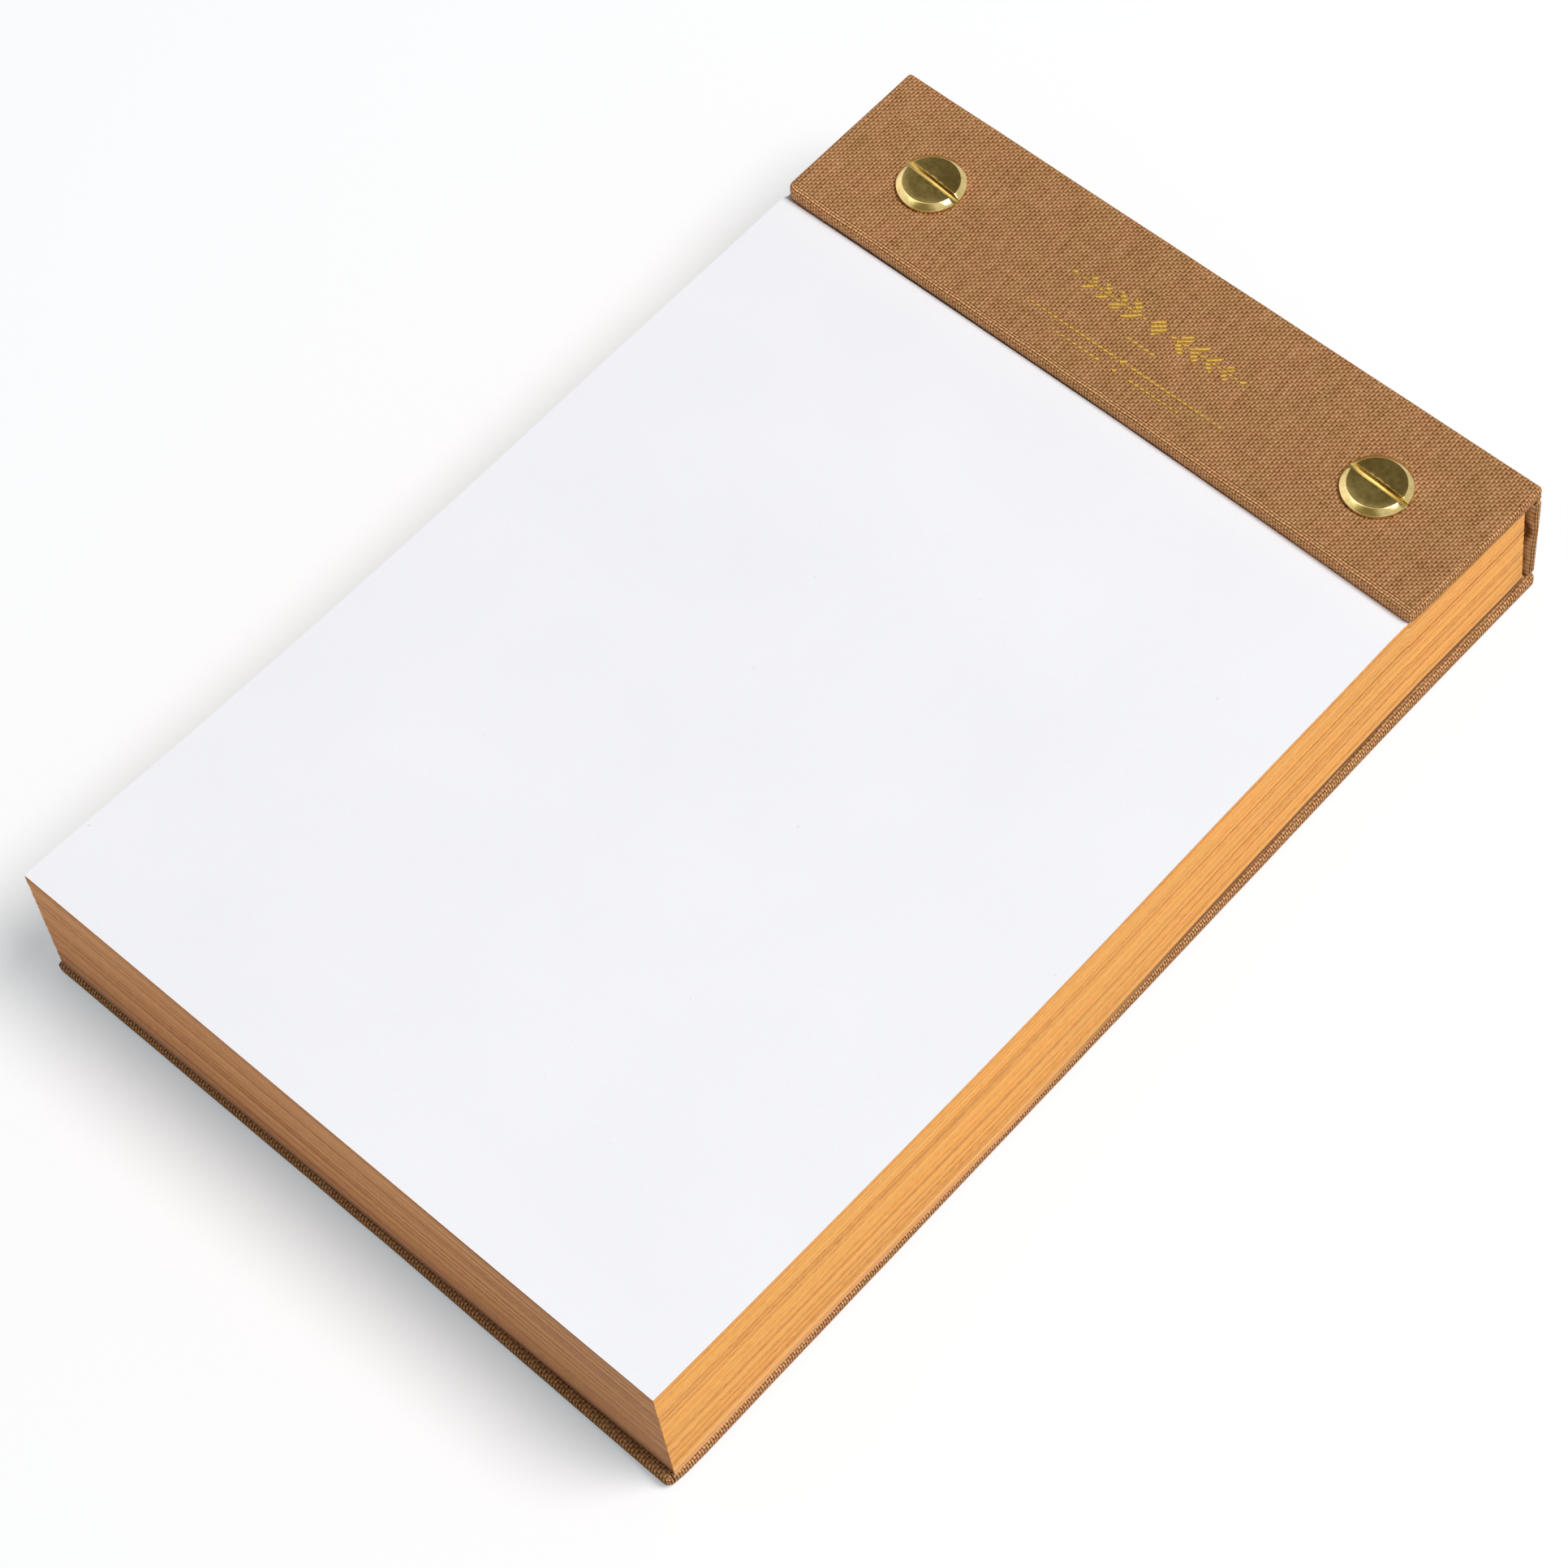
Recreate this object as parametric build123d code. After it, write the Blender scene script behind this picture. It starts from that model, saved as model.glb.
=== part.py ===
from build123d import *
import os

# Screw-bound notepad: three boards wrapped in one cloth case, a lined inside, a pad of paper
# that lifts towards its free end, and two slotted binding screws in tubular posts.
# X runs across the pad, Y from the free end to the spine, Z up.
# The origin is on the table, under the middle of the case.

# Case
case_width = 111.0
case_length = 171.5
case_height = 23.5
flap_depth = 26.0
board_thickness = 2.1
board_edge_chamfer = 0.3
cloth_thickness = 0.35
# Rounding that the cloth adds over a chamfered board edge, as a share of the chamfer
wrap_round_share = 1.5
turn_in = 12.0
hinge_gap = 0.8
lining_clearance = 0.2

# Pages
page_side_inset = 0.5
page_end_inset = 0.9
page_spine_gap = 0.5
page_lift = 3.7
page_hole_diameter = 6.0
# Height of the top sheet from the flap to the free end, as shares of that run and of the lift
page_lift_shares = ((0.25, 0.28), (0.45, 0.25), (0.65, 0.34), (0.85, 0.66), (1.0, 1.0))

# Binding screws
screw_side_inset = 16.2
screw_back_inset = 13.4
head_diameter = 10.0
head_face_diameter = 8.3
head_height = 1.25
head_rim_height = 0.55
slot_width = 1.1
slot_depth = 0.95
slot_angles = (-4.6, -2.8)
shank_diameter = 3.8
shank_length = 9.0
shank_tip_chamfer = 0.4

# Binding posts
barrel_diameter = 5.0
barrel_clearance = 0.15
barrel_end_gap = 0.4
bore_clearance = 0.1
bore_end_gap = 2.0
post_head_height = 1.0
post_head_chamfer = 0.25
post_head_recess = 0.1
post_head_clearance = 0.15

# One overrun for every through cut
overrun = 1.0

# Planes that the pieces share
wall = board_thickness + 2 * cloth_thickness
wrap_radius = cloth_thickness + wrap_round_share * board_edge_chamfer
side = case_width / 2
near_edge = -case_length / 2
back_face = case_length / 2
spine_inner = back_face - wall
flap_front = back_face - flap_depth
flap_under = case_height - wall
page_near = near_edge + page_end_inset
page_back = spine_inner - page_spine_gap
screw_y = back_face - screw_back_inset
screw_x = side - screw_side_inset
screw_xs = (-screw_x, screw_x)


def slab(x_range, y_range, z_range):
    """A box between two planes on each axis."""
    ranges = (x_range, y_range, z_range)
    sizes = [high - low for low, high in ranges]
    middles = [(high + low) / 2 for low, high in ranges]
    return Pos(*middles) * Box(*sizes)


def rounded_slab(x_range, y_range, z_range, radius):
    """A box with all its edges rounded."""
    box = slab(x_range, y_range, z_range)
    return fillet(box.edges(), radius)


def rod(x, y, z_range, diameter):
    """An upright cylinder between two heights."""
    low, high = z_range
    return Pos(x, y, (low + high) / 2) * Cylinder(diameter / 2, high - low)


def turned(points):
    """A solid of revolution about Z from a closed outline of radius and height."""
    outline = make_face(Polyline(*points, close=True))
    return revolve(Plane.XZ * outline, Axis.Z)


def along_x(face, half_length):
    """An outline of Y and Z, extruded to both sides of the middle."""
    return extrude(Plane.YZ * face, amount=half_length, both=True)


# The three wrapped boards: Y and Z ranges of each, cloth included
base_y, base_z = (near_edge, back_face), (0, wall)
spine_y, spine_z = (spine_inner, back_face), (wall + hinge_gap, flap_under - hinge_gap)
flap_y, flap_z = (flap_front, back_face), (flap_under, case_height)
across = (-side, side)


def shrunk(span, margin):
    """A range drawn in at both ends."""
    return (span[0] + margin, span[1] - margin)


def make_board(y_range, z_range):
    """A board with its cut edges broken, one cloth inside its range."""
    spans = [shrunk(span, cloth_thickness) for span in (across, y_range, z_range)]
    board = slab(*spans)
    return chamfer(board.edges(), board_edge_chamfer)


base_blank = make_board(base_y, base_z)
spine_board = make_board(spine_y, spine_z)
flap_blank = make_board(flap_y, flap_z)

# Holes for the posts: a clear hole through the flap and the base, and a seat for the head below
post_hole_diameter = barrel_diameter + 2 * barrel_clearance
post_seat_diameter = head_diameter + 2 * post_head_clearance
post_seat_top = post_head_recess + post_head_height


def post_cuts(hole_diameter, z_range):
    """The two upright holes at the screws' places."""
    return [rod(x, screw_y, z_range, hole_diameter) for x in screw_xs]


through = (-overrun, case_height + overrun)
post_holes = post_cuts(post_hole_diameter, through)
post_seats = post_cuts(post_seat_diameter, (-overrun, post_seat_top))
base_board = base_blank - post_holes - post_seats
flap_board = flap_blank - post_holes

# Cloth: rounded wraps of the boards, joined by the cloth that spans the two hinges,
# less the boards and less the inside between the turned-in edges
cloth = rounded_slab(across, base_y, base_z, wrap_radius)
cloth += rounded_slab(across, spine_y, spine_z, wrap_radius)
cloth += rounded_slab(across, flap_y, flap_z, wrap_radius)
hinge_x = shrunk(across, wrap_radius)
hinge_y = (back_face - cloth_thickness, back_face)
for low_board, high_board in ((base_z, spine_z), (spine_z, flap_z)):
    hinge_z = (low_board[1] - wall / 2, high_board[0] + wall / 2)
    cloth += slab(hinge_x, hinge_y, hinge_z)
inside_x = shrunk(across, turn_in)
inside_back = back_face - cloth_thickness
middle_z = case_height / 2
inside_low = slab(inside_x, (near_edge + turn_in, inside_back), (wall - cloth_thickness, middle_z))
inside_high = slab(inside_x, (flap_front + turn_in, inside_back), (middle_z, flap_under + cloth_thickness))
cover_cloth = cloth - [base_blank, spine_board, flap_blank, inside_low, inside_high]
cover_cloth = cover_cloth - post_holes - post_seats

# Lining: one sheet folded up the spine and under the flap, let in flush between the turned-in edges
lining_outside = spine_inner + cloth_thickness
lining_low = (near_edge + turn_in + lining_clearance, wall - cloth_thickness)
lining_high = (flap_front + turn_in + lining_clearance, flap_under + cloth_thickness)
lining_outline = Polyline(
    lining_low,
    (lining_outside, lining_low[1]),
    (lining_outside, lining_high[1]),
    lining_high,
    (lining_high[0], flap_under),
    (spine_inner, flap_under),
    (spine_inner, wall),
    (lining_low[0], wall),
    close=True,
)
lining = along_x(make_face(lining_outline), side - turn_in - lining_clearance) - post_holes

# Pages: a punched pad, pressed flat under the flap and lifting towards its free end
free_run = flap_front - page_near
lift_points = [(flap_front - run * free_run, flap_under + lift * page_lift) for run, lift in page_lift_shares]
top_sheet = Spline((flap_front, flap_under), *lift_points)
pad_sides = Polyline(
    lift_points[-1],
    (page_near, wall),
    (page_back, wall),
    (page_back, flap_under),
    (flap_front, flap_under),
)
page_block = along_x(make_face(pad_sides + top_sheet), side - page_side_inset)
page_block = page_block - post_cuts(page_hole_diameter, through)

# Screws: a bevelled head with a straight slot right across it, on a plain shank
screw_outline = (
    (0, head_height),
    (head_face_diameter / 2, head_height),
    (head_diameter / 2, head_rim_height),
    (head_diameter / 2, 0),
    (shank_diameter / 2, 0),
    (shank_diameter / 2, shank_tip_chamfer - shank_length),
    (shank_diameter / 2 - shank_tip_chamfer, -shank_length),
    (0, -shank_length),
)
screw_blank = turned(screw_outline)
slot_half = head_diameter / 2 + overrun
slot_z = (head_height - slot_depth, head_height + overrun)
slot_cut = slab((-slot_half, slot_half), (-slot_width / 2, slot_width / 2), slot_z)
screws = []
for x, angle in zip(screw_xs, slot_angles):
    screw = screw_blank - Rot(0, 0, angle) * slot_cut
    screws.append(Pos(x, screw_y, case_height) * screw)

# Posts: a flat head let into the underside of the base, and a barrel up into the flap
bore_radius = shank_diameter / 2 + bore_clearance
bore_floor = case_height - shank_length - bore_end_gap
barrel_top = case_height - barrel_end_gap
post_outline = (
    (0, post_head_recess),
    (head_diameter / 2 - post_head_chamfer, post_head_recess),
    (head_diameter / 2, post_head_recess + post_head_chamfer),
    (head_diameter / 2, post_seat_top),
    (barrel_diameter / 2, post_seat_top),
    (barrel_diameter / 2, barrel_top),
    (bore_radius, barrel_top),
    (bore_radius, bore_floor),
    (0, bore_floor),
)
posts = [Pos(x, screw_y, 0) * turned(post_outline) for x in screw_xs]

nodes = {
    "base_board": base_board,
    "spine_board": spine_board,
    "flap_board": flap_board,
    "cover_cloth": cover_cloth,
    "lining": lining,
    "page_block": page_block,
    "binding_screws": Compound(children=screws),
    "binding_posts": Compound(children=posts),
}
os.makedirs("parts", exist_ok=True)
for name, shape in nodes.items():
    export_step(shape, f"parts/{name}.step")
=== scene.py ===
import math

import bpy
import bmesh
from mathutils import Matrix, Vector, noise


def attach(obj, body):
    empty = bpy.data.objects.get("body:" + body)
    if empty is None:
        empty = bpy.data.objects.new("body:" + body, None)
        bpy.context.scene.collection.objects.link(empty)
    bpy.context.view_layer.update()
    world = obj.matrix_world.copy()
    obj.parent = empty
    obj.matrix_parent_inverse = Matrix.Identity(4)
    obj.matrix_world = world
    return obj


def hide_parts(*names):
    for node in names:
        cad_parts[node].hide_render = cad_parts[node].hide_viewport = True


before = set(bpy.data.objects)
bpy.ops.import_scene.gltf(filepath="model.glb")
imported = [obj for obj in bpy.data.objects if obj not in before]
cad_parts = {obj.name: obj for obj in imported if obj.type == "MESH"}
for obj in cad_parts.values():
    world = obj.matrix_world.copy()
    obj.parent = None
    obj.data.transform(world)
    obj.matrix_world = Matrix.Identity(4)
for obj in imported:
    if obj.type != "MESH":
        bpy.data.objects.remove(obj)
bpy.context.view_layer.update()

# Sizes in millimetres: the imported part's, and the scene's own rounding and thinner spine
SIDE = 55.5
NEAR = -85.75
BACK = 85.75
HEIGHT = 23.5
WALL = 2.8
CLOTH = 0.35
ROUND = 1.1
FLAP_ROUND = 0.6
SPINE_WALL = 2.1
SPINE_ROUND = 0.5
SPINE_IN = BACK - SPINE_WALL
FLAP_FRONT = BACK - 26.0
FLAP_UNDER = HEIGHT - WALL
TURN_IN = 12.0
# Where the turned-in cloth ends before the spine, and the gap round the lining
TURN_BACK = 83.5
LINING_GAP = 0.2
# Radii of the post holes, the seats of the post heads and the page holes, and the top of the seats
POST_HOLE = 2.65
POST_SEAT = 5.15
PAGE_HOLE = 3.0
SEAT_TOP = 1.1
# Middle and slot angle of each binding screw, as it sits in the photograph
SCREWS = ((-39.8, 72.7, -4.6), (38.75, 72.0, -2.8))
MM = 0.001


# Materials
class Graph:
    """Short ways to write the nodes of a material or a world."""

    def __init__(self, owner):
        owner.use_nodes = True
        self.material = owner
        self.tree = owner.node_tree
        self.shader = self.tree.nodes.get("Principled BSDF")

    def join(self, value, socket):
        if isinstance(value, (int, float)):
            socket.default_value = value
        elif isinstance(value, tuple):
            socket.default_value = value if len(socket.default_value) == len(value) else (*value, 1.0)
        else:
            self.tree.links.new(value, socket)

    def math(self, kind, *values):
        node = self.tree.nodes.new("ShaderNodeMath")
        node.operation = kind
        for value, socket in zip(values, node.inputs):
            self.join(value, socket)
        return node.outputs[0]

    def times(self, a, b):
        return self.math("MULTIPLY", a, b)

    def plus(self, a, b):
        return self.math("ADD", a, b)

    def scaled(self, a, factor, offset):
        return self.math("MULTIPLY_ADD", a, factor, offset)

    def vector(self, x, y, z=0.0):
        node = self.tree.nodes.new("ShaderNodeCombineXYZ")
        for value, socket in zip((x, y, z), node.inputs):
            self.join(value, socket)
        return node.outputs[0]

    def cut(self):
        """The place on the flat sheet, in millimetres."""
        place = self.tree.nodes.new("ShaderNodeUVMap")
        place.uv_map = "cut"
        parts = self.tree.nodes.new("ShaderNodeSeparateXYZ")
        self.tree.links.new(place.outputs[0], parts.inputs[0])
        return parts.outputs[0], parts.outputs[1]

    def place(self):
        """The place in the part's own frame, in metres."""
        return self.tree.nodes.new("ShaderNodeTexCoord").outputs["Object"]

    def noise(self, vector, scale, detail=2.0, rough=0.5):
        node = self.tree.nodes.new("ShaderNodeTexNoise")
        self.join(vector, node.inputs["Vector"])
        self.join(scale, node.inputs["Scale"])
        self.join(detail, node.inputs["Detail"])
        self.join(rough, node.inputs["Roughness"])
        return node.outputs["Fac"]

    def step(self, value, low, high):
        """Rises smoothly from 0 to 1 between two values."""
        node = self.tree.nodes.new("ShaderNodeMapRange")
        node.interpolation_type = "SMOOTHSTEP"
        self.join(value, node.inputs["Value"])
        self.join(low, node.inputs["From Min"])
        self.join(high, node.inputs["From Max"])
        return node.outputs["Result"]

    def ramp(self, value, stops):
        node = self.tree.nodes.new("ShaderNodeValToRGB")
        points = node.color_ramp.elements
        while len(points) < len(stops):
            points.new(0.5)
        for point, (at, colour) in zip(points, stops):
            point.position = at
            point.color = (*colour, 1.0)
        self.join(value, node.inputs["Fac"])
        return node.outputs["Color"]

    def mix(self, factor, a, b, kind="MIX"):
        node = self.tree.nodes.new("ShaderNodeMix")
        node.data_type = "RGBA"
        node.blend_type = kind
        for value, name in ((factor, "Factor_Float"), (a, "A_Color"), (b, "B_Color")):
            socket = next(s for s in node.inputs if s.identifier == name)
            self.join(value, socket)
        return next(s for s in node.outputs if s.identifier == "Result_Color")

    def bump(self, height, distance):
        node = self.tree.nodes.new("ShaderNodeBump")
        node.inputs["Strength"].default_value = 1.0
        self.join(distance, node.inputs["Distance"])
        self.join(height, node.inputs["Height"])
        return node.outputs["Normal"]

    def set(self, **values):
        for name, value in values.items():
            self.join(value, self.shader.inputs[name.replace("_", " ")])


def weave(g):
    """Plain weave: 20 threads a centimetre one way and 24 the other, slightly out of square and uneven."""
    u, v = g.cut()
    drift_u = g.scaled(g.noise(g.vector(u, v), 0.16, 2.0), 1.5, -0.75)
    drift_v = g.scaled(g.noise(g.vector(u, v, 7.0), 0.2, 2.0), 1.3, -0.65)
    across = g.plus(g.plus(g.times(u, 2.03), g.times(v, 0.06)), drift_u)
    down = g.plus(g.times(v, 2.4), drift_v)
    fall = g.math("COSINE", g.times(g.plus(across, g.times(down, -1.0)), math.pi))
    rise = g.math("COSINE", g.times(g.plus(across, down), math.pi))
    return u, v, across, down, g.scaled(fall, 0.55, g.times(rise, -0.42))


def cloth_material():
    g = Graph(bpy.data.materials.new("book_cloth"))
    u, v, across, down, over = weave(g)
    painted_relief_shade_u = g.math("SINE", g.times(across, 2 * math.pi))
    painted_relief_shade_v = g.math("SINE", g.times(down, 2 * math.pi))
    slub_warp = g.noise(g.vector(across, g.times(down, 0.09)), 1.0, 2.0)
    slub_weft = g.noise(g.vector(g.times(across, 0.09), down, 4.0), 1.0, 2.0)
    fuzz = g.noise(g.vector(u, v, 2.0), 5.0, 3.0, 0.6)
    # Painted shade in the weave: the colour is darker in its hollows than on its crossings, partly the weave's own
    # pattern and partly painted shade, and each thread is painted lighter on one side and darker on the other, a
    # painted shading of its relief
    level = g.scaled(over, 0.2, 0.5)
    level = g.plus(level, g.times(painted_relief_shade_u, -0.19))
    level = g.plus(level, g.times(painted_relief_shade_v, 0.10))
    # Threads lie straighter round the edges of the boards
    over_side = g.step(g.math("ABSOLUTE", u), SIDE - 0.7, SIDE - 0.2)
    place = g.tree.nodes.new("ShaderNodeSeparateXYZ")
    g.join(g.place(), place.inputs[0])
    high_up = g.math("GREATER_THAN", place.outputs[2], 0.5 * HEIGHT * MM)
    flap = g.times(high_up, g.math("GREATER_THAN", v, FLAP_FRONT - 6))
    folds = g.times(flap, g.step(v, FLAP_FRONT + 1.5, FLAP_FRONT + 1.0))
    front = g.times(flap, g.step(v, FLAP_FRONT + 0.95, FLAP_FRONT + 0.45))
    lines_v = g.times(g.math("COSINE", g.times(down, 2 * math.pi)), -0.3)
    lines_u = g.times(g.math("COSINE", g.times(across, 2 * math.pi)), -0.22)
    level = g.plus(level, g.times(g.math("MAXIMUM", over_side, folds), lines_v))
    level = g.plus(level, g.times(g.step(v, NEAR + 0.7, NEAR + 0.2), lines_u))
    level = g.plus(level, g.scaled(slub_warp, 0.42, -0.21))
    level = g.plus(level, g.scaled(slub_weft, 0.32, -0.16))
    level = g.plus(level, g.scaled(fuzz, 0.5, -0.25))
    thread = g.ramp(level, (
        (0.02, (0.082, 0.027, 0.007)),
        (0.28, (0.222, 0.096, 0.032)),
        (0.5, (0.362, 0.178, 0.073)),
        (0.72, (0.512, 0.281, 0.131)),
        (1.0, (0.703, 0.434, 0.228)),
    ))
    patch = g.noise(g.vector(u, v, 9.0), 0.28, 3.0, 0.6)
    tint = g.ramp(patch, ((0.3, (0.95, 1.0, 0.94)), (0.7, (1.06, 0.99, 1.05))))
    thread = g.mix(1.0, thread, tint, "MULTIPLY")
    # Painted light: paler at the flap's front, standing in for light thrown back onto it from the white sheets,
    # with a painted highlight along its fold; also paler along the sides and slightly towards the left
    thread = g.mix(front, thread, (1.25, 1.22, 1.2), "MULTIPLY")
    painted_fold_highlight = g.times(front, g.step(v, FLAP_FRONT + 0.3, FLAP_FRONT - 0.4))
    thread = g.mix(painted_fold_highlight, thread, (1.3, 1.3, 1.3), "MULTIPLY")
    thread = g.mix(over_side, thread, (1.12, 1.1, 1.1), "MULTIPLY")
    thread = g.mix(g.step(u, -25.0, -50.0), thread, (1.06, 1.06, 1.07), "MULTIPLY")
    height = g.plus(g.scaled(over, 0.4, 0.4), g.times(fuzz, 0.25))
    g.set(Base_Color=thread, Normal=g.bump(height, 0.04 * MM), Roughness=0.9, Specular_IOR_Level=0.0)
    return g.material


def paper_material():
    g = Graph(bpy.data.materials.new("page_paper"))
    where = g.place()
    tooth = g.noise(where, 2600.0, 4.0, 0.65)
    cloud = g.noise(where, 45.0, 3.0)
    shade = g.plus(g.times(tooth, 0.5), g.times(cloud, 0.5))
    white = g.ramp(shade, ((0.3, (0.86, 0.865, 0.905)), (0.7, (0.9, 0.905, 0.945))))
    speck = g.math("GREATER_THAN", g.noise(where, 900.0, 1.0), 0.835)
    g.set(Base_Color=g.mix(g.times(speck, 0.35), white, (0.62, 0.58, 0.52)))
    g.set(Normal=g.bump(tooth, 0.006 * MM), Roughness=0.75, Specular_IOR_Level=0.25)
    return g.material


def edge_material():
    g = Graph(bpy.data.materials.new("page_edges"))
    u, v = g.cut()
    fine = g.noise(g.vector(g.times(u, 0.012), v), 0.75, 2.0, 0.6)
    band = g.noise(g.vector(g.times(u, 0.003), v, 5.0), 0.16, 2.0)
    grain = g.noise(g.vector(g.times(u, 0.9), v, 8.0), 1.2, 2.0)
    level = g.plus(g.plus(g.times(fine, 0.74), g.times(band, 0.54)), g.scaled(grain, 0.4, -0.235))
    gilt = g.ramp(level, (
        (0.42, (0.52, 0.197, 0.038)),
        (0.53, (0.73, 0.318, 0.068)),
        (0.64, (0.89, 0.430, 0.098)),
        (0.82, (0.95, 0.500, 0.127)),
    ))
    # Painted shade: the near end, which faces away from the lamp, is tinted duller and cooler, and darker towards
    # its foot, most of all in its lowest sheets. It is also darker towards its right corner
    end = g.times(g.step(u, 120.0, 130.0), g.step(u, 280.0, 270.0))
    low = g.step(v, 45.0, 0.0)
    gilt = g.mix(end, gilt, (0.94, 0.90, 1.3), "MULTIPLY")
    gilt = g.mix(g.times(end, low), gilt, (0.84, 0.80, 0.80), "MULTIPLY")
    gilt = g.mix(g.times(end, g.step(v, 20.0, 2.0)), gilt, (0.66, 0.60, 0.64), "MULTIPLY")
    gilt = g.mix(g.times(end, g.step(u, 205.0, 250.0)), gilt, (0.84, 0.87, 0.95), "MULTIPLY")
    # The lowest sheets are paler towards the near right corner; behind it along the right side, and more faintly
    # along the near end, their foot carries a painted shadow where the sheets meet the base
    right = g.math("LESS_THAN", u, 100.0)
    near = g.times(right, g.step(u, 30.0, -40.0))
    gilt = g.mix(g.times(g.times(near, g.step(v, 7.5, 5.5)), 0.45), gilt, (0.70, 0.36, 0.20))
    line = g.times(g.step(v, 6.5, 7.5), g.step(v, 9.5, 8.0))
    gilt = g.mix(g.times(g.times(near, line), 0.4), gilt, (0.95, 0.60, 0.30))
    along = g.math("MAXIMUM", g.times(end, 0.6), g.times(right, g.step(u, -30.0, 20.0)))
    painted_contact_shadow = g.times(g.step(v, 10.0, 6.0), along)
    g.set(Base_Color=g.mix(g.times(painted_contact_shadow, 0.9), gilt, (0.13, 0.035, 0.01)))
    g.set(Normal=g.bump(g.plus(fine, g.times(grain, 0.4)), 0.04 * MM), Roughness=0.6, Specular_IOR_Level=0.35)
    return g.material


def brass_material(name, colour, dull):
    g = Graph(bpy.data.materials.new(name))
    where = g.place()
    mottle = g.noise(where, 1300.0, 4.0, 0.65)
    wipe = g.noise(where, 260.0, 3.0)
    tone = tuple(c * k for c, k in zip(colour, (0.74, 0.72, 0.62)))
    shade = g.step(g.plus(g.times(mottle, 0.5), g.times(wipe, 0.5)), 0.36, 0.64)
    g.set(Base_Color=g.mix(shade, tone, colour), Metallic=1.0)
    g.set(Roughness=g.plus(g.scaled(wipe, 0.16, dull), g.times(mottle, 0.08)), Normal=g.bump(mottle, 0.003 * MM))
    return g.material


def foil_material():
    g = Graph(bpy.data.materials.new("foil"))
    u, v, _, _, over = weave(g)
    worn = g.noise(g.vector(u, v, 3.0), 3.0, 3.0, 0.6)
    high = g.scaled(over, 0.4, 0.4)
    gilt = g.step(g.plus(high, g.times(worn, 0.7)), 0.2, 0.5)
    g.set(Base_Color=g.mix(gilt, (0.40, 0.18, 0.035), (0.70, 0.41, 0.085)), Metallic=0.85)
    g.set(Roughness=g.scaled(worn, 0.2, 0.28), Normal=g.bump(high, 0.08 * MM))
    return g.material


def board_material():
    g = Graph(bpy.data.materials.new("greyboard"))
    where = g.place()
    pulp = g.noise(where, 900.0, 5.0, 0.7)
    fleck = g.noise(where, 3500.0, 2.0)
    g.set(Base_Color=g.ramp(pulp, ((0.3, (0.24, 0.225, 0.2)), (0.7, (0.4, 0.375, 0.34)))))
    g.set(Normal=g.bump(fleck, 0.03 * MM), Roughness=0.92, Specular_IOR_Level=0.15)
    return g.material


def lining_material():
    g = Graph(bpy.data.materials.new("lining_paper"))
    where = g.place()
    fibre = g.noise(where, 1400.0, 4.0, 0.65)
    g.set(Base_Color=g.ramp(fibre, ((0.3, (0.62, 0.55, 0.44)), (0.7, (0.74, 0.68, 0.57)))))
    g.set(Normal=g.bump(fibre, 0.01 * MM), Roughness=0.85, Specular_IOR_Level=0.2)
    return g.material


# Meshes
def dress(obj, *materials):
    for material in materials:
        obj.data.materials.append(material)


def add_object(name, verts, faces, uvs=None, smooth=True, places=None):
    """A mesh object from points in millimetres. uvs has one pair for each corner of each face."""
    mesh = bpy.data.meshes.new(name)
    mesh.from_pydata([(x * MM, y * MM, z * MM) for x, y, z in verts], [], faces)
    if uvs is not None:
        layer = mesh.uv_layers.new(name="cut")
        flat = [value for face in uvs for pair in face for value in pair]
        layer.data.foreach_set("uv", flat)
    mesh.polygons.foreach_set("use_smooth", [smooth] * len(mesh.polygons))
    if places is not None:
        mesh.polygons.foreach_set("material_index", places)
    mesh.update()
    obj = bpy.data.objects.new(name, mesh)
    bpy.context.scene.collection.objects.link(obj)
    return obj


def apply_modifiers(obj):
    """Replaces the mesh by its evaluated one and drops the modifiers."""
    graph = bpy.context.evaluated_depsgraph_get()
    made = obj.evaluated_get(graph)
    mesh = bpy.data.meshes.new_from_object(made, preserve_all_data_layers=True, depsgraph=graph)
    obj.modifiers.clear()
    old = obj.data
    obj.data = mesh
    mesh.name = obj.name
    bpy.data.meshes.remove(old)


def cut_away(obj, cutters):
    """Cuts the given closed objects out of obj and deletes them."""
    for cutter in cutters:
        modifier = obj.modifiers.new("cut", "BOOLEAN")
        modifier.operation = "DIFFERENCE"
        modifier.solver = "EXACT"
        modifier.object = cutter
    bpy.context.view_layer.update()
    apply_modifiers(obj)
    for cutter in cutters:
        mesh = cutter.data
        bpy.data.objects.remove(cutter)
        bpy.data.meshes.remove(mesh)


def shade_by_angle(obj, degrees):
    mesh = obj.data
    mesh.polygons.foreach_set("use_smooth", [True] * len(mesh.polygons))
    work = bmesh.new()
    work.from_mesh(mesh)
    for edge in work.edges:
        if len(edge.link_faces) == 2 and edge.calc_face_angle() > math.radians(degrees):
            edge.smooth = False
    work.to_mesh(mesh)
    work.free()


def turned(name, profile, centre, steps):
    """A closed solid of revolution from (radius, height) points whose first and last lie on the axis."""
    cx, cy, cz = centre
    verts = [(cx, cy, cz + profile[0][1])]
    for radius, height in profile[1:-1]:
        for k in range(steps):
            angle = 2 * math.pi * k / steps
            verts.append((cx + radius * math.cos(angle), cy + radius * math.sin(angle), cz + height))
    verts.append((cx, cy, cz + profile[-1][1]))
    faces = []
    rings = len(profile) - 2
    last = len(verts) - 1
    for k in range(steps):
        after = (k + 1) % steps
        faces.append((0, 1 + k, 1 + after))
        for ring in range(rings - 1):
            a = 1 + ring * steps
            b = a + steps
            faces.append((a + k, b + k, b + after, a + after))
        end = 1 + (rings - 1) * steps
        faces.append((last, end + after, end + k))
    return add_object(name, verts, faces)


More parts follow.
